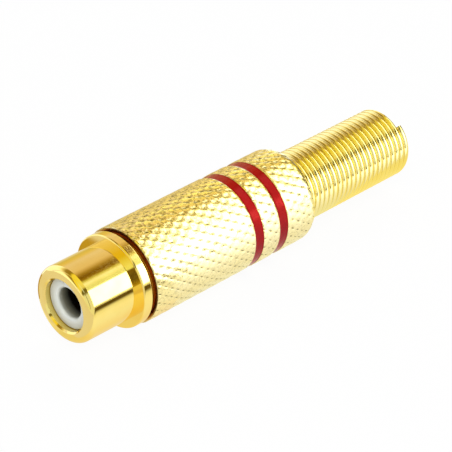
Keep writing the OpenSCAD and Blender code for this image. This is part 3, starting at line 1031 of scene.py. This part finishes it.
# %% The tent's end
END_R, END_STEP = TENT_R * 1.5, 10
END_MIDDLE = (0.22, 0.16, 0.03)
END_STOPS = np.array([
    (-180, 0.90, 0.85, 0.60), (-110, 0.90, 0.85, 0.60), (-92, 0.22, 0.16, 0.03), (-50, 0.22, 0.16, 0.03),
    (-30, 0.10, 0.08, 0.02), (50, 0.08, 0.07, 0.02), (70, 0.22, 0.16, 0.03), (180, 0.90, 0.85, 0.60),
])
end_x = mirrored(SPRING_SEEN[1], TENT_R)
end_turns = range(-180, 180, END_STEP)
end_angles = [CAMERA_TILT + math.radians(turn) for turn in end_turns]
glowing(
    "tent_end", [(end_x, 0, 0)] + [(end_x, END_R * math.cos(a), END_R * math.sin(a)) for a in end_angles],
    [(0, k + 1, (k + 1) % len(end_angles) + 1) for k in range(len(end_angles))],
    [END_MIDDLE] + [glow_at(END_STOPS, turn) for turn in end_turns],
)

# %% [markdown]
# ## What the cover and the socket mirror
# A strip just below the camera is far brighter than the rest. It gives the gold its white stripe, and dark
# strips above and below it on the socket's cloth give the brown lines. Towards the top the cover's cloth
# glows in stripes as if it hung in folds, which break up the glow over the knurl.

# %% Cloth that the cover mirrors
cloth(
    "tent_round_cover", TENT_R - 1, (8.2, 31.5),
    (-180, 0.50, 0.38, 0.18), (-160, 0.60, 0.49, 0.25), (-136, 0.86, 0.72, 0.38), (-120, 0.92, 0.75, 0.37),
    (-104, 1.24, 1.16, 0.52), (-88, 1.20, 1.04, 0.37), (-72, 0.98, 0.77, 0.27), (-66, 0.92, 0.72, 0.32),
    (-60, 1.10, 0.95, 0.50), (-55, 3.00, 3.00, 3.00), (-24, 3.80, 3.80, 3.80), (4, 4.00, 4.00, 4.00),
    (9, 9.00, 9.00, 9.00), (22, 9.00, 9.00, 9.00), (28, 4.00, 4.00, 4.00), (48, 2.40, 2.40, 2.70),
    (64, 1.10, 1.15, 1.40), (80, 0.95, 0.95, 0.95), (104, 0.95, 0.95, 0.75), (136, 0.88, 0.88, 0.55),
    (180, 0.90, 0.92, 0.62), folds=0.5,
)

# %% Cloth that the socket mirrors
cloth(
    "tent_round_socket", TENT_R - 2, (-12.0, 8.2),
    (-180, 1.00, 1.00, 1.00), (-152, 0.85, 0.78, 0.60), (-136, 0.70, 0.57, 0.17), (-120, 0.82, 0.64, 0.24),
    (-104, 0.86, 0.73, 0.70), (-72, 0.82, 0.64, 0.48), (-62, 0.60, 0.42, 0.20), (-56, 0.38, 0.24, 0.04),
    (-46, 0.20, 0.10, 0.00), (-38, 0.32, 0.20, 0.02), (-32, 0.72, 0.68, 0.25), (-26, 1.10, 1.12, 1.05),
    (-20, 1.00, 1.02, 0.80), (-14, 0.85, 0.90, 0.55), (-6, 0.90, 0.95, 0.80), (-5, 4.50, 4.50, 4.50),
    (38, 4.50, 4.50, 4.50), (41, 0.50, 0.42, 0.25), (43, 0.12, 0.08, 0.01), (50, 0.12, 0.08, 0.01),
    (55, 0.95, 0.95, 0.85), (62, 1.05, 1.05, 1.05), (74, 1.00, 1.00, 1.00), (90, 0.97, 0.86, 0.64),
    (110, 0.90, 0.78, 0.52), (152, 0.85, 0.78, 0.55), (180, 1.00, 1.00, 1.00),
)

# %% [markdown]
# ## Lamps and camera
# Two large, soft lamps at a plain level light the plastics and give the object its shadow. The metal
# doesn't mirror them, because it has its tent. The camera stands where the photo was taken from, found from
# the outline and the rims of the object, with a long lens that keeps the perspective weak.

# %% Lamps
LAMP_AIM = (23, 0, 0)


def lamp(name, place, size, power):
    """A soft square lamp that points at the middle of the connector and isn't mirrored in it."""
    data = bpy.data.lights.new(name, "AREA")
    data.size, data.energy = size * MM, power
    made = bpy.data.objects.new(name, data)
    made.location = Vector(place) * MM
    made.rotation_euler = (Vector(LAMP_AIM) * MM - made.location).to_track_quat("-Z", "Y").to_euler()
    made.visible_glossy = False
    bpy.context.scene.collection.objects.link(made)
    print(f"{name} lamp: {power} W, {size} mm wide")


lamp("key", (-250, -350, 500), size=350, power=1.8)
lamp("fill", (350, 250, 450), size=400, power=0.9)

# %% Camera
camera = bpy.data.objects.new("camera", bpy.data.cameras.new("camera"))
bpy.context.scene.collection.objects.link(camera)
camera.data.lens, camera.data.sensor_width = 192.2, 36.0
camera.data.clip_start, camera.data.clip_end = 0.01, 20.0
aim = Matrix((CAMERA_RIGHT, CAMERA_UP, CAMERA_BACK)).transposed().to_4x4()
camera.matrix_world = Matrix.Translation(Vector(CAMERA_PLACE) * MM) @ aim
bpy.context.scene.camera = camera
bpy.context.scene.view_settings.view_transform = "Standard"
print("camera at", [round(v / MM, 1) for v in camera.location])
